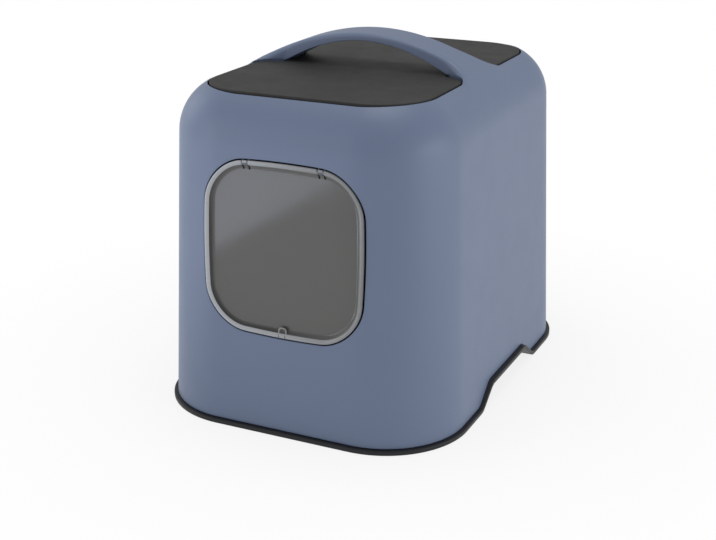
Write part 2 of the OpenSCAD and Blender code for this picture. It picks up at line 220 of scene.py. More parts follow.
class Sheets:
    """Collects patches of points and faces, and welds them into one mesh."""

    def __init__(self):
        self.points, self.faces, self.dark = [], [], []

    def grid(self, rows, closed=False, skip=None, dark=None):
        """Quads between rows of points. closed joins each row's end to its start. The quads
        of the columns in dark get the mesh's second material."""
        rows = np.asarray(rows, float)
        count, width = rows.shape[:2]
        base = len(self.points)
        self.points.extend(rows.reshape(-1, 3))
        for i in range(count - 1):
            for j in range(width if closed else width - 1):
                if skip and skip(i, j):
                    continue
                a = base + i * width + j
                b = base + i * width + (j + 1) % width
                if dark is not None and dark[j]:
                    self.dark.append(len(self.faces))
                self.faces.append((a, b, b + width, a + width))

    def cap(self, loop):
        """One flat face over a loop of points."""
        base = len(self.points)
        self.points.extend(np.asarray(loop, float))
        self.faces.append(tuple(range(base, base + len(loop))))

    def fill(self, border, holes, inner, plane=(0, 1)):
        """Triangles between a border and its holes, through the inner points.
        plane names the two coordinates in which the patch is triangulated."""
        loops = [np.asarray(border, float)] + [np.asarray(h, float) for h in holes]
        flat = [p[:, plane] for p in loops]
        inner = np.asarray(inner, float).reshape(-1, 3)
        keep = within(inner[:, plane], flat)
        for loop in flat:
            keep &= distance(inner[:, plane], loop) > FILL_CLEAR
        points = np.concatenate(loops + [inner[keep]])
        edges = []
        start = 0
        for loop in loops:
            size = len(loop)
            edges += [(start + i, start + (i + 1) % size) for i in range(size)]
            start += size
        seeds = [tuple(p) for p in points[:, plane]]
        found = delaunay_2d_cdt(seeds, edges, [], 0, SAME_POINT, True)
        source = [ids[0] for ids in found[3]]
        tris = np.array([[source[k] for k in face] for face in found[2]])
        ok = within(points[tris][:, :, plane].mean(1), flat)
        a, b, c = (points[tris[:, k]][:, plane] for k in range(3))
        u, v = b - a, c - a
        longest = np.max([np.linalg.norm(e, axis=1) for e in (u, v, c - b)], axis=0)
        ok &= np.abs(u[:, 0] * v[:, 1] - u[:, 1] * v[:, 0]) > SLIVER * longest
        base = len(self.points)
        self.points.extend(points)
        self.faces.extend(tuple(int(base + k) for k in t) for t in tris[ok])

    def mesh(self, name, place=None):
        """The welded mesh, in metres. place turns the points before they are scaled."""
        points = np.array(self.points)
        if place:
            points = place(points)
        data = bpy.data.meshes.new(name)
        data.from_pydata((points * MM).tolist(), [], self.faces)
        for k in self.dark:
            data.polygons[k].material_index = 1
        work = bmesh.new()
        work.from_mesh(data)
        bmesh.ops.remove_doubles(work, verts=work.verts, dist=WELD)
        bmesh.ops.dissolve_degenerate(work, edges=work.edges, dist=COLLAPSE)
        bmesh.ops.recalc_face_normals(work, faces=work.faces)
        work.to_mesh(data)
        work.free()
        return data


def placed(name, data):
    """A new object in the scene."""
    item = bpy.data.objects.new(name, data)
    bpy.context.scene.collection.objects.link(item)
    return item


def capped(name, rows, place=None):
    """A mesh of closed rows, with a face over the first and over the last."""
    sheets = Sheets()
    sheets.grid(rows, closed=True)
    sheets.cap(rows[0])
    sheets.cap(rows[-1])
    return sheets.mesh(name, place)


def inside(points, polygon):
    """Whether each 2-D point lies in the polygon."""
    x, y = points[:, 0][:, None], points[:, 1][:, None]
    a, b = polygon, np.roll(polygon, -1, 0)
    spans = (a[:, 1] > y) != (b[:, 1] > y)
    rise = np.where(a[:, 1] == b[:, 1], 1.0, b[:, 1] - a[:, 1])
    cross = a[:, 0] + (y - a[:, 1]) * (b[:, 0] - a[:, 0]) / rise
    return ((spans & (x < cross)).sum(1) % 2) == 1


def within(points, loops):
    """Whether each 2-D point lies in the first loop and in none of the others."""
    found = inside(points, loops[0])
    for hole in loops[1:]:
        found &= ~inside(points, hole)
    return found


def distance(points, polygon):
    """Distance of each 2-D point from the polygon's outline."""
    a, b = polygon, np.roll(polygon, -1, 0)
    d = b - a
    rel = points[:, None] - a[None]
    share = np.clip((rel * d).sum(2) / np.maximum((d * d).sum(1), 1e-12), 0, 1)
    return np.linalg.norm(rel - share[..., None] * d, axis=2).min(1)


def smooth(t):
    """Smooth step from 0 to 1 as t goes from 0 to 1."""
    t = np.clip(t, 0, 1)
    return t * t * (3 - 2 * t)


def bend(radius, count):
    """Steps of a rounding: pairs of lengths, of which the first shrinks from the radius to 0
    as the second grows from 0 to it."""
    for a in np.radians(np.linspace(0, 90, count)):
        yield radius * (1 - math.sin(a)), radius * (1 - math.cos(a))


def curve(start, corner, end, t):
    """Point at t, from 0 to 1, of a curve from start to end that cuts a corner."""
    return start * (1 - t) ** 2 + corner * 2 * t * (1 - t) + end * t * t


def stations(front, side, turns):
    """Places round a rounded rectangle, as rows of fx, fy, ux, uy: a point of it is at
    (fx * (hw - r) + r * ux, fy * (hd - r) + r * uy)."""
    rows = []
    for k in range(4):
        ux, uy = round(math.sin(math.pi / 2 * k)), -round(math.cos(math.pi / 2 * k))
        along = (-uy, ux)
        for t in (front if k % 2 == 0 else side):
            rows.append((ux + along[0] * t, uy + along[1] * t, ux, uy))
        for i in range(1, turns):
            a = math.radians(90 * (k - 1) + 90 * i / turns)
            rows.append((ux + along[0], uy + along[1], math.cos(a), math.sin(a)))
    return np.array(rows, float)


def ring(st, size, z, out=0.0):
    """A rounded rectangle's points at the stations. size is its half width, half depth and
    corner radius, and out moves all its sides outwards."""
    hw, hd, r = (length + out for length in size)
    x = st[:, 0] * (hw - r) + r * st[:, 2]
    y = st[:, 1] * (hd - r) + r * st[:, 3]
    return np.stack([x, y, z + 0 * x], 1)


def outward(loop, sign=1):
    """Unit normals of a closed 2-D loop, to the left of its direction times sign."""
    along = np.roll(loop, -1, 0) - np.roll(loop, 1, 0)
    along /= np.linalg.norm(along, axis=1)[:, None]
    return sign * np.stack([-along[:, 1], along[:, 0]], 1)


# ---------------------------------------------------------------- hood

# Columns and rows of the grid. The sides' columns are closest where the notch rises.
SIDE_Y = np.concatenate([[0, 14, 28, 40, 48], np.linspace(54, 109, 21), [118, 130, 143]])
SIDE_SHARES = np.concatenate([[-1], -SIDE_Y[:0:-1] / SIDE_HD, SIDE_Y / SIDE_HD, [1]])
FRONT_SHARES = np.linspace(-1, 1, 19)
ST = stations(FRONT_SHARES, SIDE_SHARES, 24)
LOW_SHARES = (0, 0.02, 0.2, 0.4, 0.6, 0.8, 1)
WALL_HEIGHTS = np.concatenate([np.linspace(LOW_TOP, 338, 22), [SHOULDER_Z - 4, SHOULDER_Z]])
SHOULDER_ANGLES = np.linspace(DRAFT, JOIN_ANGLE, 14)[1:]
WINDOW_TURNS = 5  # how far the mesh round the door reaches into the corners
WINDOW_BELOW = 8.0  # at least how far it reaches below the flap
WINDOW_ABOVE = 3.0  # and above it
SETTLE = 4  # rounds in which a point's height and the wall's inset there settle

DOOR_SHARES = np.linspace(-1, 1, 11)
DOOR_ST = stations(DOOR_SHARES, DOOR_SHARES, 20)


def wall_ring(z, t):
    """The wall's outline at height z, moved inwards by t."""
    inset = SLOPE * (z - BASE_Z)
    skin = t / LEAN_COS
    size = (HOOD_HW - inset - skin, HOOD_HD - inset - skin, HOOD_R - inset / 2 - t)
    return ring(ST, size, z)


def shoulder_ring(angle, t):
    """The shoulder's outline at an angle of its rounding, moved inwards by t."""
    r = SHOULDER_R - t
    return ring(ST, (HOOD_HW, HOOD_HD, SHOULDER_CORNER), SHOULDER_Z + r * math.sin(angle),
                r * math.cos(angle) - SHOULDER_INSET)


def notch_z(y):
    """Height of the ledge's underside: flat on the floor, with a raised notch."""
    slope = math.atan(NOTCH_H / (NOTCH_FOOT - NOTCH_TOP))
    reach = NOTCH_ROUND * math.tan(slope / 2)
    swing = NOTCH_ROUND * math.sin(slope)
    y = np.abs(y)
    foot = NOTCH_FOOT + reach
    top = NOTCH_TOP - reach
    lower = NOTCH_ROUND - np.sqrt(np.maximum(NOTCH_ROUND ** 2 - (y - foot) ** 2, 0))
    upper = NOTCH_H - NOTCH_ROUND + np.sqrt(np.maximum(NOTCH_ROUND ** 2 - (y - top) ** 2, 0))
    line = NOTCH_H * (NOTCH_FOOT - y) / (NOTCH_FOOT - NOTCH_TOP)
    return np.select([y >= foot, y > foot - swing, y > top + swing, y > top],
                     [0 * y, lower, line, upper], NOTCH_H)


def low_row(share, t, lift=0.0):
    """A row of the wall from its notched lower edge, at share 0, to LOW_TOP, at share 1."""
    z = np.full(len(ST), LEDGE_T + SEAT_GAP)
    for _ in range(SETTLE):
        low = notch_z(wall_ring(z, t)[:, 1]) + LEDGE_T + SEAT_GAP + lift
        z = low + share * (LOW_TOP - low)
    return wall_ring(z, t)


def door_point(x, v, w):
    """Points of the door's frame - across, up the wall and outwards - in the part's frame."""
    x = np.asarray(x, float)
    y = DOOR_Y + v * LEAN_SIN - w * LEAN_COS
    z = FLAP_Z + v * LEAN_COS + w * LEAN_SIN
    return np.stack([x, y + 0 * x, z + 0 * x], -1)


def wall_w(x, v, t):
    """How far outwards in the door's frame the wall lies, moved inwards by t."""
    w = -t + 0 * x
    for _ in range(SETTLE):
        z = FLAP_Z + v * LEAN_COS + w * LEAN_SIN
        inset = SLOPE * (z - BASE_Z)
        skin = t / LEAN_COS
        r = HOOD_R - inset / 2 - t
        past = np.maximum(np.abs(x) - (HOOD_HW - inset - skin - r), 0)
        y = -(HOOD_HD - inset - skin - r) - np.sqrt(r * r - past * past)
        w = (DOOR_Y + v * LEAN_SIN - y) / LEAN_COS
    return w


def bulged(points):
    """Points of the door's frame, with the straight sides drawn into slight curves."""
    points = np.array(points)
    across = 1 - BULGE * (points[:, 1] / FLAP_HH) ** 2
    along = 1 - BULGE * (points[:, 0] / FLAP_HW) ** 2
    points[:, 0] *= across
    points[:, 1] *= along
    return points


def door_outline(grow):
    """The door opening's outline in the door's frame, moved outwards by grow."""
    return bulged(ring(DOOR_ST, (FLAP_HW, FLAP_HH, FLAP_R), 0, FLAP_GAP + grow))[:, :2]


def add_wall(sheets, t):
    """One side of the wall and shoulder, up to the roof mesh, with the door opening in it.
    Returns its lowest and its highest row."""
    rows = [low_row(s, t, EDGE_ROUND if t == 0 else 0) for s in LOW_SHARES]
    rows += [wall_ring(z, t) for z in WALL_HEIGHTS[1:]]
    rows += [shoulder_ring(a, t) for a in SHOULDER_ANGLES]
    rows = np.array(rows)
    first_col = len(ST) - WINDOW_TURNS
    last_col = len(FRONT_SHARES) - 1 + WINDOW_TURNS
    window = (FLAP_Z - FLAP_HH - WINDOW_BELOW, FLAP_Z + FLAP_HH + WINDOW_ABOVE)
    below, above = np.searchsorted(WALL_HEIGHTS, window)
    first_row, last_row = len(LOW_SHARES) + below - 2, len(LOW_SHARES) + above - 1

    def in_window(i, j):
        return first_row <= i < last_row and (j >= first_col or j < last_col)

    sheets.grid(rows, closed=True, skip=in_window)
    cols = list(range(first_col, len(ST))) + list(range(0, last_col + 1))
    block = rows[first_row:last_row + 1][:, cols]
    border = np.concatenate([block[0], block[1:, -1], block[-1, -2::-1], block[-2:0:-1, 0]])
    grow = DOOR_ROUND if t == 0 else 0
    near, far = (door_outline(g) for g in (grow, grow + SUPPORT))
    near, far = (door_point(p[:, 0], p[:, 1], wall_w(p[:, 0], p[:, 1], t)) for p in (near, far))
    sheets.grid([near, far], closed=True)
    sheets.fill(border, [far], block[1:-1, 1:-1].reshape(-1, 3), plane=(0, 2))
    return rows[0], rows[-1]


def add_door_edge(sheets):
    """Rounded edge of the door opening and its cut face, from outside to inside."""
    loop = door_outline(0)
    rows = []
    for away, drop in bend(DOOR_ROUND, 5):
        grown = door_outline(away)
        surface = wall_w(grown[:, 0], grown[:, 1], 0)
        rows.append(door_point(grown[:, 0], grown[:, 1], surface - drop))
    rows.append(door_point(loop[:, 0], loop[:, 1], wall_w(loop[:, 0], loop[:, 1], WALL)))
    sheets.grid(rows, closed=True)


def handle_half(x, s):
    """Distance at x from the middle to the handle's front (s -1) or rear (s 1)."""
    start, length, out = FRONT_FLARE if s < 0 else REAR_FLARE
    return HANDLE_HD + out * smooth((np.abs(x) - start) / length)


def handle_z(x):
    """Height of the handle's top."""
    return HANDLE_TOP - HANDLE_SAG * x * x


def belly_z(x):
    """Height of the handle's underside, which runs out over the panel and drops at its ends."""
    arch = HANDLE_TOP - HANDLE_T - BELLY_SAG * x * x
    drop = smooth((np.abs(x) - FOOT_X + FOOT_FALL) / FOOT_FALL)
    flat = BELLY_FOOT - (BELLY_FOOT - COLLAR_FOOT) * drop
    return np.maximum(COLLAR_FOOT, (arch + flat + np.hypot(arch - flat, BELLY_SOFT)) / 2)


def shoulder_z(x, y, t):
    """Height of the shoulder over a point of the plan."""
    core_x, core_y = HOOD_HW - SHOULDER_CORNER, HOOD_HD - SHOULDER_CORNER
    reach = np.hypot(np.maximum(np.abs(x) - core_x, 0), np.maximum(np.abs(y) - core_y, 0))
    r = SHOULDER_R - t
    away = np.maximum(SHOULDER_INSET - (SHOULDER_CORNER - reach), 0)
    return SHOULDER_Z + np.sqrt(np.maximum(r * r - away * away, 0))


def roof_z(x, y):
    """Top surface of the hood round the panel: the handle runs smoothly into the shoulder."""
    far = smooth((np.abs(x) - HANDLE_END) / HANDLE_END_RUN)
    aside = smooth((np.abs(y) - HANDLE_SIDE) / HANDLE_SIDE_RUN)
    body = 1 - (1 - far) * (1 - aside)
    return handle_z(x) * (1 - body) + shoulder_z(x, y, 0) * body


# Places along the handle's edge, closest at its foot.
EDGE_X = np.concatenate([
    np.linspace(0, 100, 26), np.linspace(104, FOOT_X, 9), [PANEL_HW + PANEL_GAP - JUNCTION]])


def roof_loop(s):
    """Outline of the roof opening before (s -1) or behind (s 1) the handle. Also returns the
    normals that point away from the opening, which points belong to the handle, and how much
    of the handle's rounding each point has."""
    side_x = PANEL_HW + PANEL_GAP
    edge_y = s * (PANEL_HD + PANEL_GAP) + PANEL_Y
    r = PANEL_R + PANEL_GAP
    corner = np.array([side_x, s * handle_half(side_x, s)])
    points = [(x, s * handle_half(x, s)) for x in (*-EDGE_X[:0:-1], *EDGE_X)]
    begin = np.array(points[-1])
    end = corner + [0, s * JUNCTION]
    turn = [curve(begin, corner, end, t) for t in np.linspace(0, 1, 7)[1:]]
    centre_y = edge_y - s * r
    turn += [(side_x, y) for y in np.linspace(end[1], centre_y, 12)[1:]]
    for a in np.radians(np.linspace(0, 90, 21)[1:]):
        turn.append((side_x - r + r * math.cos(a), centre_y + s * r * math.sin(a)))
    turn += [(x, edge_y) for x in np.linspace(side_x - r, 0, 8)[1:]]
    turn = np.array(turn)
    back = turn[-2::-1] * [-1, 1]
    loop = np.concatenate([points, turn, back])
    edge = np.zeros(len(loop))
    edge[:len(points)] = 1
    away = np.linalg.norm(loop - end, axis=1)
    away = np.minimum(away, np.linalg.norm(loop - end * [-1, 1], axis=1))
    beyond = np.abs(loop[:, 1]) > abs(end[1])
    return loop, outward(loop, -s), edge, np.where(beyond, 0, smooth(away / FADE_LENGTH))


def top_round(loop, share, s):
    """Rounding of the upper edge at each point of a roof loop."""
    soft = REAR_ROUND
    if s < 0:
        grown = smooth((np.abs(loop[:, 0]) - FOOT_ROUND_X) / FOOT_ROUND_RUN)
        soft = HANDLE_ROUND + (FOOT_ROUND - HANDLE_ROUND) * grown
    return RIM_ROUND + (soft - RIM_ROUND) * share


def lifted(plan, z):
    """Plan points at height z."""
    return np.concatenate([plan, np.broadcast_to(z, (len(plan),))[:, None]], 1)


# Corners and spacing of the lattices of points inside the flat parts.
ROOF_SPAN = ((-176, -240), (176, 240))
ROOF_STEP = 3.1
LINING_STEP = 6
PANEL_SPAN = ((-140, -210), (140, 210))
PANEL_STEP = 12


def spots(low, high, step):
    """A square lattice of plan points at height 0."""
    xs = np.arange(low[0], high[0], step)
    ys = np.arange(low[1], high[1], step)
    grid = np.stack(np.meshgrid(xs, ys), -1).reshape(-1, 2)
    return lifted(grid, 0)


def lip_line(loop, radius, foot):
    """Where the opening's wall ends over its groove: the lip's height, how much of the groove
    there is, and the angle at which the upper rounding meets the wall."""
    roof = roof_z(loop[:, 0], loop[:, 1])
    lip = np.minimum(PANEL_Z + LIP_FOOT, roof - LIP_DROP)
    cut = smooth((lip - foot) / GROOVE_RUN)
    lip = np.maximum(lip, foot + BELLY_ROUND + LIP_LEAST)
    last = np.arccos(np.clip(1 - (roof - lip - LIP_ROUND) / radius, 0, TURN_LEAST))
    return lip, cut, last


def add_roof(sheets, outer_top, inner_top):
    """The roof round the panel, with the handle, its underside and the collar."""
    holes = []
    feet = []
    for s in (-1, 1):
        loop, normal, edge, share = roof_loop(s)
        radius = top_round(loop, share, s)
        foot = np.where(edge > 0, belly_z(loop[:, 0]), COLLAR_FOOT)
        lip, cut, last = lip_line(loop, radius, foot)
        plan = loop + normal * (radius * np.sin(last) + SUPPORT)[:, None]
        rows = [lifted(plan, roof_z(plan[:, 0], plan[:, 1]))]
        for angle in np.linspace(0, 1, 10)[:, None] * last:
            plan = loop + normal * (radius * (np.sin(last) - np.sin(angle)))[:, None]
            z = roof_z(plan[:, 0], plan[:, 1]) - radius * (1 - np.cos(angle))
            rows.append(lifted(plan, z))
        holes.append(rows[0])
        for up, inward in bend(LIP_ROUND, 4):
            rows.append(lifted(plan + normal * (inward * cut)[:, None], lip + up))
        sheets.grid(rows, closed=True)
        groove = plan + normal * ((LIP_ROUND + GROOVE) * cut)[:, None]
        rows = [rows[-1], lifted(groove, lip - GROOVE_FALL),
                lifted(groove, (lip + foot + BELLY_ROUND) / 2)]
        for up, inward in bend(BELLY_ROUND, 4):
            plan = groove + normal * inward
            low = np.where(edge > 0, belly_z(plan[:, 0]), COLLAR_FOOT)
            rows.append(lifted(plan, low + up))
        # The groove's faces get the mesh's second material, a painted shade.
        sheets.grid(rows, closed=True, dark=cut > 0.5)
        on_edge = np.flatnonzero((edge > 0) & (np.abs(loop[:, 0]) <= FOOT_X + 1e-6))
        feet.append((rows[-1], on_edge))
    lattice = spots(*ROOF_SPAN, ROOF_STEP)
    lattice[:, 2] = roof_z(lattice[:, 0], lattice[:, 1])
    sheets.fill(outer_top, holes, lattice)

    shares = np.linspace(0, 1, 13)[:, None, None]
    front = feet[0][0][feet[0][1]]
    rear = feet[1][0][feet[1][1]]
    belly = front[None] * (1 - shares) + rear[None] * shares
    sheets.grid(belly)

    around = []
    for (row, on_edge), flip in zip(feet, (False, True)):
        first, last = on_edge[0], on_edge[-1]
        section = np.concatenate([row[last:], row[:first + 1]])
        around.append(section[::-1] if flip else section)
    left_end = belly[1:-1, 0]
    right_end = belly[1:-1, -1]
    mouth = np.concatenate([around[0], left_end, around[1], right_end[::-1]])
    normal = outward(mouth[:, :2])
    spread = mouth[:, :2] + normal * (COLLAR_T - BELLY_ROUND)
    under = shoulder_z(spread[:, 0], spread[:, 1], WALL)
    sheets.grid([mouth, lifted(spread, COLLAR_FOOT), lifted(spread, under)], closed=True)
    lattice = spots(*ROOF_SPAN, LINING_STEP)
    lattice[:, 2] = shoulder_z(lattice[:, 0], lattice[:, 1], WALL)
    sheets.fill(inner_top, [lifted(spread, under)], lattice)


def hood_mesh():
    """The hood: both sides of its wall, its edges, and the roof with the handle."""
    sheets = Sheets()
    (_, outer_top), (inner_low, inner_top) = add_wall(sheets, 0), add_wall(sheets, WALL)
    edge = [low_row(0, inward, up) for up, inward in bend(EDGE_ROUND, 4)]
    sheets.grid([*edge, inner_low], closed=True)
    add_door_edge(sheets)
    add_roof(sheets, outer_top, inner_top)
    return sheets.mesh("hood_shell")


# ---------------------------------------------------------------- roof panel

def panel_outline(inset):
    """Outline of the roof panel, moved inwards by inset, with its bites for the feet."""
    parts = []
    for s in (-1, 1):
        loop, normal, edge, _ = roof_loop(s)
        keep = np.flatnonzero((edge > 0) & (np.abs(loop[:, 0]) < BITE_X + BITE_CLEAR))
        first, last = keep[0], keep[-1]
        order = np.concatenate([np.arange(last + 1, len(loop)), np.arange(0, first)])
        gap = PANEL_GAP + FOOT_GAP * edge + inset
        moved = (loop - normal * gap[:, None])[order]
        bite = BITE_X - PANEL_GAP - FOOT_GAP - inset
        side_y = s * (handle_half(BITE_X, s) + PANEL_GAP + FOOT_GAP + inset)
        part = np.concatenate([[(bite, side_y)], moved, [(-bite, side_y)]])
        parts.append(part if s < 0 else part[::-1])
    return np.concatenate(parts)


def panel_mesh():
    """The roof panel, a plate with a skirt."""
    sheets = Sheets()
    rows = [lifted(panel_outline(PANEL_ROUND + SUPPORT), PANEL_Z)]
    rows += [lifted(panel_outline(inset), PANEL_Z - drop) for inset, drop in bend(PANEL_ROUND, 5)]
    outer, inner = panel_outline(0), panel_outline(SKIRT_T)
    rows += [lifted(outer, SKIRT_FOOT), lifted(inner, SKIRT_FOOT), lifted(inner, PANEL_Z - PANEL_T)]
    sheets.grid(rows, closed=True)
    lattice = spots(*PANEL_SPAN, PANEL_STEP)
    lattice[:, 2] = PANEL_Z
    sheets.fill(rows[0], [], lattice)
    under = lattice.copy()
    under[:, 2] = PANEL_Z - PANEL_T
    sheets.fill(rows[-1], [], under)
    return sheets.mesh("roof_plate")


# ---------------------------------------------------------------- tray

def rim_row(out, height):
    """A row over the ledge's underside, which follows the hood's lower edge moved by out."""
    row = ring(ST, (HOOD_HW, HOOD_HD, HOOD_R), 0, out)
    row[:, 2] = notch_z(row[:, 1]) + height
    return row


def pan_row(inward, z):
    """A row of the pan's flared wall at height z, moved inwards."""
    return ring(ST, PAN_SIZE, z, PAN_FLARE * z / PAN_H - inward)


def pan_on_ledge(height):
    """The row in which the pan's wall meets a level over the ledge's underside."""
    return pan_row(0, notch_z(ring(ST, PAN_SIZE, 0)[:, 1]) + height)


def tray_mesh():
    """The tray: from the pan's foot round the ledge and the rib, and over into the pan."""
    rows = [pan_row(0, 0.0), pan_on_ledge(0)]
    rows += [rim_row(LEDGE_OUT - inward, up) for inward, up in bend(LEDGE_ROUND, 5)]
    rows += [rim_row(LEDGE_OUT - inward, LEDGE_T - drop) for drop, inward in bend(LEDGE_ROUND, 5)]
    rib_top = LEDGE_T + RIB_H
    rows += [
        rim_row(-RIB_IN, LEDGE_T), rim_row(-RIB_IN, rib_top - RIB_ROUND),
        rim_row(-RIB_IN - RIB_ROUND, rib_top), rim_row(-RIB_IN - RIB_T + RIB_ROUND, rib_top),
        rim_row(-RIB_IN - RIB_T, rib_top - RIB_ROUND), rim_row(-RIB_IN - RIB_T, LEDGE_T),
        pan_on_ledge(LEDGE_T),
        pan_row(0, PAN_MID), pan_row(0, PAN_H - PAN_LIP), pan_row(PAN_LIP, PAN_H),
        pan_row(PAN_WALL - PAN_LIP, PAN_H), pan_row(PAN_WALL, PAN_H - PAN_LIP),
        pan_row(PAN_WALL, PAN_MID),
    ]
    rows += [pan_row(PAN_WALL + inward, PAN_FLOOR + up) for up, inward in bend(PAN_FILLET, 8)]
    return capped("tray_shell", rows)


# ---------------------------------------------------------------- flap

FLAP_SHARES = np.linspace(-1, 1, 9)
FLAP_ST = stations(FLAP_SHARES, FLAP_SHARES, 20)


def flap_row(inset, w):
    """The flap's outline moved inwards by inset, at level w."""
    return bulged(ring(FLAP_ST, (FLAP_HW, FLAP_HH, FLAP_R), w, -inset))


def door_place(points):
    """Points of the door's frame, as one array, in the part's frame."""
    return door_point(points[:, 0], points[:, 1], points[:, 2])


def rounded_path(corners, radius, steps=4):
    """A path of (inset, w) corners with each inner corner rounded."""
    path = [corners[0]]
    for before, here, after in zip(corners, corners[1:], corners[2:]):
        here = np.array(here, float)
        a = np.array(before) - here
        b = np.array(after) - here
        len_a, len_b = np.linalg.norm(a), np.linalg.norm(b)
        reach = min(radius, len_a / CORNER_LIMIT, len_b / CORNER_LIMIT)
        start, end = here + a / len_a * reach, here + b / len_b * reach
        path += [tuple(curve(start, here, end, t)) for t in np.linspace(0, 1, steps)]
    path.append(corners[-1])
    return path


def block(hw, hh, r, back, front, rounding, u=0.0, v=0.0):
    """A block of the door's frame round (u, v), from level back to front, with corners of
    radius r and its front edge rounded."""
    shares = (-1, -0.5, 0, 0.5, 1)
    st = stations(shares, shares, 6)
    rows = [ring(st, (hw, hh, r), back)]
    rows += [ring(st, (hw, hh, r), front - drop, -inset) for drop, inset in bend(rounding, 4)]
    rows.append(ring(st, (hw, hh, r), front, -rounding - CAP_INSET))
    return capped("block", [row + [u, v, 0] for row in rows], door_place)


def rod(u, v, w, radius, length):
    """A rod along x in the door's frame."""
    angles = np.radians(np.arange(0, 360, 15))
    rows = [np.stack([u + s * length / 2 + 0 * angles, v + radius * np.cos(angles),
                      w + radius * np.sin(angles)], 1) for s in (-1, 1)]
    return capped("rod", rows, door_place)


def joined(mesh, *steps):
    """The mesh after joining (add True) or cutting (add False) other meshes, in steps of
    (add, mesh)."""
    items = [placed("work", part) for part in (mesh, *(part for _, part in steps))]
    for (add, _), other in zip(steps, items[1:]):
        step = items[0].modifiers.new("step", "BOOLEAN")
        step.operation = "UNION" if add else "DIFFERENCE"
        step.solver = "EXACT"
        step.object = other
    seen = items[0].evaluated_get(bpy.context.evaluated_depsgraph_get())
    result = bpy.data.meshes.new_from_object(seen)
    result.name = mesh.name
    for item in items:
        bpy.data.objects.remove(item)
    return result


def slits(width):
    """Cutters for the two pairs of hinge slits."""
    cuts = []
    for side in (-1, 1):
        for edge in (-1, 1):
            x = side * HINGE_X + edge * (TONGUE_W + SLIT_W) / 2
            cuts.append((False, block(width / 2, SLIT_HH, SLIT_R, CUT_BACK, CUT_FRONT,
                                      CUT_ROUND, x, SLIT_FOOT + SLIT_HH)))
    return cuts


def flap_mesh():
    """The dished flap with its magnet housing, hinge tongues and knuckles."""
    deep = FLANGE_FRONT - DISH_DEPTH
    slant = FLAP_T * (math.sqrt(2) - 1)
    slope_end = DISH_START + DISH_DEPTH
    front = rounded_path([(0, FLANGE_FRONT), (DISH_START, FLANGE_FRONT), (slope_end, deep),
                          (PLATE_INSET, deep)], DISH_ROUND)
    back = rounded_path([(PLATE_INSET, deep - FLAP_T), (slope_end - slant, deep - FLAP_T),
                         (DISH_START - slant, FLANGE_FRONT - FLAP_T),
                         (0, FLANGE_FRONT - FLAP_T)], DISH_ROUND)
    front.insert(-1, (front[-2][0] + SUPPORT, deep))
    path = front[::-1] + back[::-1]
    plate = capped("flap_panel", [flap_row(d, w) for d, w in path], door_place)
    behind = deep - FLAP_T
    boss = block(BOSS_HW, BOSS_HH, BOSS_R, behind, BOSS_FRONT, BOSS_ROUND, v=BOSS_AT)
    dent = block(BOSS_HW - BOSS_WALL, BOSS_HH - BOSS_WALL, DENT_R, BOSS_FRONT - DENT_DEPTH,
                 CUT_FRONT, CUT_ROUND, v=BOSS_AT)
    pocket = block(MAGNET[0] / 2, MAGNET[1] / 2, MAGNET_R, behind - CUT_EXTRA,
                   behind + MAGNET[2], FINE_ROUND, v=MAGNET_V)
    knuckles = [(True, rod(s * HINGE_X, HINGE_V, HINGE_W, KNUCKLE_R, TONGUE_W)) for s in (-1, 1)]
    bores = [(False, rod(s * HINGE_X, HINGE_V, HINGE_W, PIN_R + PIN_PLAY, TONGUE_W + SLIT_W))
             for s in (-1, 1)]
    return joined(plate, (True, boss), *knuckles, (False, dent), (False, pocket),
                  *slits(SLIT_W), *bores)


def bead_mesh():
    """Crowned bead on the flap's edge: steep outside, a longer slope inside."""
    sheets = Sheets()
    rows = [flap_row(d, w) for d, w in rounded_path(BEAD_PATH, BEAD_ROUND, 5)]
    sheets.grid(rows, closed=True)
    sheets.grid([rows[-1], rows[0]], closed=True)
    ring_mesh = sheets.mesh("flap_bead", door_place)
    marks = [(False, block(MARK_W / 2, MARK_HH, MARK_R, BEAD_FRONT - MARK_T, CUT_FRONT,
                           FINE_ROUND, u, -FLAP_HH)) for u in (-MARK_X, MARK_X)]
    return joined(ring_mesh, *marks, *slits(BEAD_SLIT_W))


# ---------------------------------------------------------------- materials

def linear(r, g, b):
    """An sRGB colour, 0 to 255, as linear values."""
    out = []
    for c in (r, g, b):
        c /= 255
        out.append(c / 12.92 if c <= 0.04045 else ((c + 0.055) / 1.055) ** 2.4)
    return (*out, 1)


def dimmed(colour, share):
    """The colour with a share of its light."""
    return (*(c * share for c in colour[:3]), 1)


def maths(tree, operation, a, b):
    """Output of a maths node over two outputs."""
    node = tree.nodes.new("ShaderNodeMath")
    node.operation = operation
    tree.links.new(a, node.inputs[0])
    tree.links.new(b, node.inputs[1])
    return node.outputs[0]


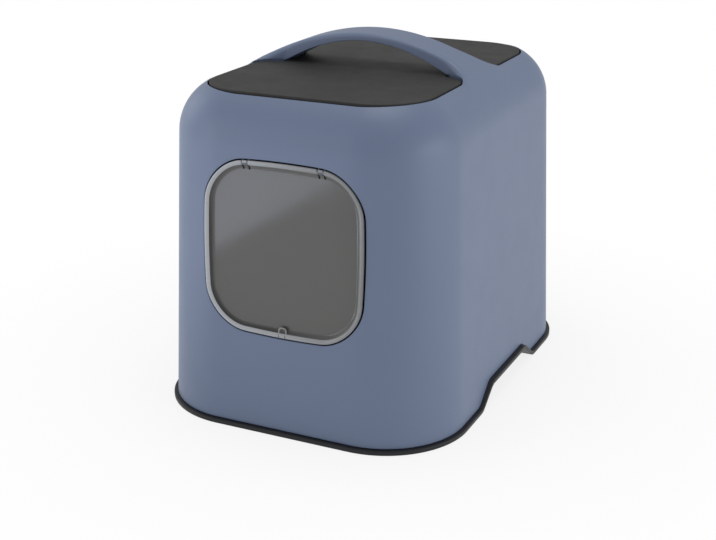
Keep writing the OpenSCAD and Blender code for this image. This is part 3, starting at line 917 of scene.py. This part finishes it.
class Nodes:
    """Short calls for building a material's nodes."""

    def __init__(self, name):
        self.material = bpy.data.materials.new(name)
        self.material.use_nodes = True
        self.tree = self.material.node_tree
        self.shader = self.tree.nodes["Principled BSDF"]
        self.place = self.add("ShaderNodeTexCoord").outputs["Object"]

    def add(self, kind, sources=None, **settings):
        """A new node. sources gives its inputs their values, or the outputs they follow."""
        node = self.tree.nodes.new(kind)
        for key, value in settings.items():
            setattr(node, key, value)
        for key, source in (sources or {}).items():
            self.fill(node.inputs[key], source)
        return node

    def fill(self, socket, source):
        """Sets an input to a value, or links an output to it."""
        if isinstance(source, bpy.types.NodeSocket):
            self.tree.links.new(source, socket)
        else:
            socket.default_value = source

    def feed(self, name, source):
        """Fills the shader's input of that name."""
        self.fill(self.shader.inputs[name], source)

    def noise(self, scale, detail=3.0, roughness=0.5, place=None):
        return self.add("ShaderNodeTexNoise", {
            "Scale": scale, "Detail": detail, "Roughness": roughness,
            "Vector": place or self.place}).outputs["Fac"]

    def span(self, value, low, high, start=0.3, end=0.7):
        """value from start to end becomes low to high."""
        return self.add("ShaderNodeMapRange", {
            "Value": value, "From Min": start, "From Max": end, "To Min": low,
            "To Max": high}).outputs["Result"]

    def mix(self, factor, a, b):
        """a to b as factor goes from 0 to 1. Each is a colour or an output."""
        return self.add("ShaderNodeMix", {"Factor": factor, 6: a, 7: b},
                        data_type="RGBA").outputs[2]

    def bump(self, height, strength, distance, normal=None):
        sources = {"Height": height, "Strength": strength, "Distance": distance}
        if normal:
            sources["Normal"] = normal
        return self.add("ShaderNodeBump", sources).outputs["Normal"]

    def off_door(self, direction, low, high):
        """0 to 1 as the way from the door's middle along a direction goes from low to high."""
        way = self.add("ShaderNodeVectorMath", {0: self.place, 1: direction},
                       operation="DOT_PRODUCT").outputs["Value"]
        middle = direction[1] * DOOR_Y + direction[2] * FLAP_Z
        return self.span(way, 0, 1, (middle + low) * MM, (middle + high) * MM)


# Scales of textures are per metre, and depths of bumps in metres.
DRIFT_SCALE = 9  # slow drift of a plastic's colour
FLOW_SCALE = 26  # flow marks in its gloss
WAVE_SCALE = 14  # slight waves of its surface
WAVE_DEPTH = 0.002
GRAIN_DEPTH = 0.0002
SATIN_GRAIN = 2600
BRUSH_SCALE = 2500
BRUSH_STRETCH = (0.08, 1, 1)
CELL_SCALE = 420
CELL_DEPTH = 0.0012


def moulded(name, colour, shade, rough, grain_scale, grain, specular=0.5):
    """Moulded plastic: a fine grain, slow colour drift and flow marks in its gloss."""
    m = Nodes(name)
    drift = m.span(m.noise(DRIFT_SCALE, 4), 0, 1)
    m.feed("Base Color", m.mix(drift, dimmed(colour, shade), colour))
    m.feed("Roughness", m.span(m.noise(FLOW_SCALE, 5, 0.6), *rough))
    wave = m.bump(m.noise(WAVE_SCALE, 2), 0.02, WAVE_DEPTH)
    m.feed("Normal", m.bump(m.noise(grain_scale, 2, 0.6), grain, GRAIN_DEPTH, wave))
    m.feed("Specular IOR Level", specular)
    return m.material


HOOD_COLOUR = linear(102, 116, 143)
# Painted shade: near-black plastic on the faces inside the groove round the roof panel.
GROOVE_SHADE_COLOUR = linear(26, 29, 36)
PANEL_COLOUR = linear(45, 45, 44)
TRAY_COLOUR = linear(30, 31, 34)
FLAP_COLOUR = linear(105, 105, 103)
SLOPE_PAINTED_SHADE = linear(60, 60, 60)  # painted shade on the slope of the flap's dish, at its lower left
SLOPE_PAINTED_LIGHT = linear(108, 108, 107)  # painted light on that slope, at its upper right
BEAD_PAINTED_LIGHT = linear(172, 175, 180)  # painted light on the bead, at its left
BEAD_PAINTED_SHADE = linear(122, 124, 125)  # painted shade on the bead, at its right
BOSS_COLOUR = linear(128, 128, 128)
STEEL_COLOUR = linear(190, 190, 188)
MAGNET_COLOUR = linear(140, 140, 142)
FOAM_COLOUR = linear(34, 34, 36)

# Name, colour, its share where it is darkest, roughness, scale and strength of the grain, and
# specular level.
hood_plastic = moulded("hood_plastic", HOOD_COLOUR, 0.98, (0.43, 0.48), SATIN_GRAIN, 0.12)
# Painted shade: the groove's plastic is near black and stands in for the shadow in it.
groove_painted_shade = moulded("groove_painted_shade", GROOVE_SHADE_COLOUR, 0.9, (0.6, 0.7), 1500, 0.2, 0.2)
panel_plastic = moulded("panel_plastic", PANEL_COLOUR, 0.94, (0.55, 0.65), 1500, 0.35, 0.27)
tray_plastic = moulded("tray_plastic", TRAY_COLOUR, 0.9, (0.4, 0.5), 2000, 0.2, 0.3)
boss_plastic = moulded("boss_plastic", BOSS_COLOUR, 0.95, (0.3, 0.4), SATIN_GRAIN, 0.08)
filter_plastic = moulded("filter_plastic", PANEL_COLOUR, 0.92, (0.42, 0.52), 1800, 0.2)

SLOPE_FROM = 0.05  # level over the dish's floor at which the slope's look begins
SLOPE_FULL = 2.2  # and at which it is complete
SLOPE_SHADE_WAY = (-0.8, 0, -0.6)  # direction in which the slope's painted shade grows darker
SLOPE_RUN = (-20, 70)  # and over what way from the door's middle it does
SLOPE_ROUGH = 0.42
BEAD_LIGHT_WAY = (-1, 0, -0.15)  # the same for the bead's painted light, which grows lighter
BEAD_RUN = (-100, 100)


def smoked():
    """Smoked, clear plastic of the flap. It shows mostly reflections, except on the slope of its
    dish, which is matt and carries a painted shade: dark at its lower left, lighter at its upper
    right."""
    m = Nodes("smoked_plastic_painted_shade")
    drift = m.span(m.noise(7, 3), 0, 1)
    flat = m.mix(drift, dimmed(FLAP_COLOUR, 0.96), FLAP_COLOUR)
    floor_level = FLANGE_FRONT - DISH_DEPTH
    outwards = (0, -LEAN_COS, LEAN_SIN)
    slope = m.off_door(outwards, floor_level + SLOPE_FROM, floor_level + SLOPE_FULL)
    # Painted shade on the dish's slope: darker towards the lower left, lighter towards the upper
    # right.
    shade = m.mix(m.off_door(SLOPE_SHADE_WAY, *SLOPE_RUN), SLOPE_PAINTED_LIGHT, SLOPE_PAINTED_SHADE)
    m.feed("Base Color", m.mix(slope, flat, shade))
    gloss = m.span(m.noise(30, 4), 0.08, 0.11)
    rough = m.add("ShaderNodeMix", {"Factor": slope, 2: gloss, 3: SLOPE_ROUGH}, data_type="FLOAT")
    m.feed("Roughness", rough.outputs[0])
    m.feed("Normal", m.bump(m.noise(60, 2), 0.004, 0.0004))
    m.feed("Transmission Weight", 0.3)
    m.feed("IOR", 1.49)
    return m.material


def shaded_bead():
    """Satin plastic of the bead, with painted light towards its left and painted shade towards its
    right.
    """
    m = Nodes("bead_plastic_painted_light")
    m.feed("Base Color", m.mix(m.off_door(BEAD_LIGHT_WAY, *BEAD_RUN), BEAD_PAINTED_SHADE, BEAD_PAINTED_LIGHT))
    m.feed("Roughness", m.span(m.noise(FLOW_SCALE, 5, 0.6), 0.24, 0.32))
    m.feed("Normal", m.bump(m.noise(SATIN_GRAIN, 2, 0.6), 0.08, GRAIN_DEPTH))
    return m.material


def metal(name, colour, rough):
    """Metal, finely brushed along x."""
    m = Nodes(name)
    lines = m.add("ShaderNodeMapping", {"Scale": BRUSH_STRETCH, "Vector": m.place})
    brushed = m.noise(BRUSH_SCALE, 2, place=lines.outputs["Vector"])
    m.feed("Base Color", m.mix(brushed, dimmed(colour, 0.85), colour))
    m.feed("Roughness", m.span(brushed, rough - 0.06, rough + 0.06))
    m.feed("Metallic", 1)
    return m.material


def foam():
    """Open-celled carbon foam."""
    m = Nodes("carbon_foam")
    cells = m.add("ShaderNodeTexVoronoi", {"Scale": CELL_SCALE, "Vector": m.place})
    depth = cells.outputs["Distance"]
    pores = m.span(depth, 0, 1, 0.05, 0.6)
    m.feed("Base Color", m.mix(pores, dimmed(FOAM_COLOUR, 0.3), FOAM_COLOUR))
    m.feed("Roughness", m.span(depth, 0.85, 0.98))
    m.feed("Normal", m.bump(pores, 0.8, CELL_DEPTH))
    return m.material


smoked_plastic_painted_shade = smoked()
bead_plastic_painted_light = shaded_bead()
pin_steel = metal("pin_steel", STEEL_COLOUR, 0.3)
magnet_nickel = metal("magnet_nickel", MAGNET_COLOUR, 0.38)
carbon_foam = foam()

CAD_LOOKS = {
    "hinge_bracket_left": hood_plastic, "hinge_bracket_right": hood_plastic,
    "hinge_pin_left": pin_steel, "hinge_pin_right": pin_steel,
    "flap_magnet": magnet_nickel, "sill_magnet": magnet_nickel,
    "filter_cassette": filter_plastic, "filter_grille": filter_plastic,
    "carbon_filter": carbon_foam,
}
for node, look in CAD_LOOKS.items():
    slots = frame["nodes"][node].data.materials
    slots.clear()
    slots.append(look)


# ---------------------------------------------------------------- pieces

FLAT_AREA = 0.003  # faces larger than this, in square metres, are flat caps
SHARP_ANGLE = math.radians(32)


def piece(mesh, material, body, slot, *nodes):
    """Puts a mesh in the scene as a piece that rides on body and stands for the nodes."""
    mesh.materials.clear()
    for look in (material if isinstance(material, tuple) else (material,)):
        mesh.materials.append(look)
    mesh.shade_smooth()
    for face in mesh.polygons:
        if face.area > FLAT_AREA:
            face.use_smooth = False
    mesh.set_sharp_from_angle(angle=SHARP_ANGLE)
    item = placed(mesh.name, mesh)
    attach(item, body)
    if nodes:
        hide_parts(*nodes)
    return item


# The hood's second material is a painted shade inside the groove round the panel.
piece(hood_mesh(), (hood_plastic, groove_painted_shade), "hood", "hood", "hood")
piece(panel_mesh(), panel_plastic, "hood", "roof_panel", "roof_panel")
piece(tray_mesh(), tray_plastic, "pan", "tray", "litter_tray")
# The flap's smoked plastic carries a painted shade on its dish's slope.
flap = piece(flap_mesh(), (smoked_plastic_painted_shade, boss_plastic), "flap", "flap", "door_flap")
for face in flap.data.polygons:  # the magnet housing's front has a look of its own
    x, y, z = face.center / MM
    up = (y - DOOR_Y) * LEAN_SIN + (z - FLAP_Z) * LEAN_COS
    out = (z - FLAP_Z) * LEAN_SIN - (y - DOOR_Y) * LEAN_COS
    on_boss = abs(x) < BOSS_HW + BOSS_MARGIN and abs(up - BOSS_AT) < BOSS_HH + BOSS_MARGIN
    if on_boss and up > -FLAP_HH + RING_W and out > BOSS_FRONT - BOSS_SKIN:
        face.material_index = 1
# The bead's plastic carries painted light on its left and painted shade on its right.
piece(bead_mesh(), bead_plastic_painted_light, "flap", "flap_rim", "flap_rim")


# ---------------------------------------------------------------- stage, light and camera

# All in metres and watts.
WHITE = (1, 1, 1, 1)
FLOOR_HALF = 12.0
FLOOR_COLOUR = (0.93, 0.93, 0.93, 1)
FLOOR_GLOW = (0.82, 1)  # share of plain white in it near the object and further away
FLOOR_FADE = (0.3, 0.7)  # distances between which that changes
AMBIENT = 0.575  # strength of the world's light, which itself looks plain white
LAMP_AIM = (0, 0, 0.2)
LAMPS = (  # name, place, size and power
    ("right_low", (2.4, 0.0, 0.5), (2.2, 0.9), 16),
    ("left_front", (-1.9, -1.9, 0.9), (1.2, 1.4), 9.8),
    ("left", (-2.4, 0.2, 1.1), (1.6, 1.4), 8),
    ("top", (0, 0.1, 2.7), (1.2, 1.2), 15),
)
REFLECTOR = ("reflector", (-1.0, -1.35, 0.01), (0.9, 1.9), 11)
REFLECTOR_TURN = (math.pi, 0, -0.105)  # it lies on the floor and the flap mirrors it
REFLECTOR_COLOUR = (0.75, 0.8, 1)


def floor():
    """A matt floor that the camera sees as nearly white, with a faint shadow."""
    data = bpy.data.meshes.new("floor")
    corners = [(x * FLOOR_HALF, y * FLOOR_HALF, 0) for x, y in ((-1, -1), (1, -1), (1, 1), (-1, 1))]
    data.from_pydata(corners, [], [(0, 1, 2, 3)])
    m = Nodes("floor_white")
    m.feed("Base Color", FLOOR_COLOUR)
    m.feed("Roughness", 0.9)
    m.feed("Specular IOR Level", 0.1)
    path = m.add("ShaderNodeLightPath")
    seen = maths(m.tree, "MAXIMUM", path.outputs["Is Camera Ray"], path.outputs["Is Glossy Ray"])
    seen = maths(m.tree, "MAXIMUM", seen, path.outputs["Is Transmission Ray"])
    here = m.add("ShaderNodeNewGeometry").outputs["Position"]
    away = m.add("ShaderNodeVectorMath", {0: here}, operation="LENGTH")
    fade = m.span(away.outputs["Value"], *FLOOR_GLOW, *FLOOR_FADE)
    glow = m.add("ShaderNodeEmission", {"Color": WHITE})
    both = m.add("ShaderNodeMixShader", {
        0: maths(m.tree, "MULTIPLY", fade, seen), 1: m.shader.outputs[0], 2: glow.outputs[0]})
    m.fill(m.tree.nodes["Material Output"].inputs["Surface"], both.outputs[0])
    data.materials.append(m.material)
    placed("floor", data)


def world():
    """A white world to look at, and an even soft light on the object."""
    studio = bpy.data.worlds.new("studio")
    bpy.context.scene.world = studio
    studio.use_nodes = True
    tree = studio.node_tree
    back = tree.nodes["Background"]
    back.inputs["Color"].default_value = WHITE
    path = tree.nodes.new("ShaderNodeLightPath")
    seen = maths(tree, "MAXIMUM", path.outputs["Is Camera Ray"],
                 path.outputs["Is Transmission Ray"])
    strength = tree.nodes.new("ShaderNodeMapRange")
    strength.inputs["To Min"].default_value = AMBIENT
    strength.inputs["To Max"].default_value = 1
    tree.links.new(seen, strength.inputs["Value"])
    tree.links.new(strength.outputs["Result"], back.inputs["Strength"])


def softbox(name, at, size, power):
    """A rectangular lamp that faces the object."""
    lamp = bpy.data.lights.new(name, "AREA")
    lamp.shape = "RECTANGLE"
    lamp.size, lamp.size_y = size
    lamp.energy = power
    item = placed(name, lamp)
    item.location = at
    item.rotation_euler = (Vector(LAMP_AIM) - Vector(at)).to_track_quat("-Z", "Y").to_euler()
    item.visible_camera = False
    return item


floor()
world()
for lamp_values in LAMPS:
    softbox(*lamp_values)
reflector = softbox(*REFLECTOR)
reflector.rotation_euler = REFLECTOR_TURN
reflector.data.color = REFLECTOR_COLOUR

CAMERA_AT = (0.69865, -1.52854, 0.74095)
CAMERA_YAW = 0.440178  # turned from +Y towards -X
CAMERA_PITCH = 0.349839  # looking down
CAMERA_LENS = 66.596  # on a sensor 36 mm wide

lens = bpy.data.cameras.new("camera")
lens.lens = CAMERA_LENS
camera = placed("camera", lens)
camera.location = CAMERA_AT
camera.rotation_euler = (math.pi / 2 - CAMERA_PITCH, 0, CAMERA_YAW)
bpy.context.scene.camera = camera
bpy.context.scene.view_settings.view_transform = "Standard"
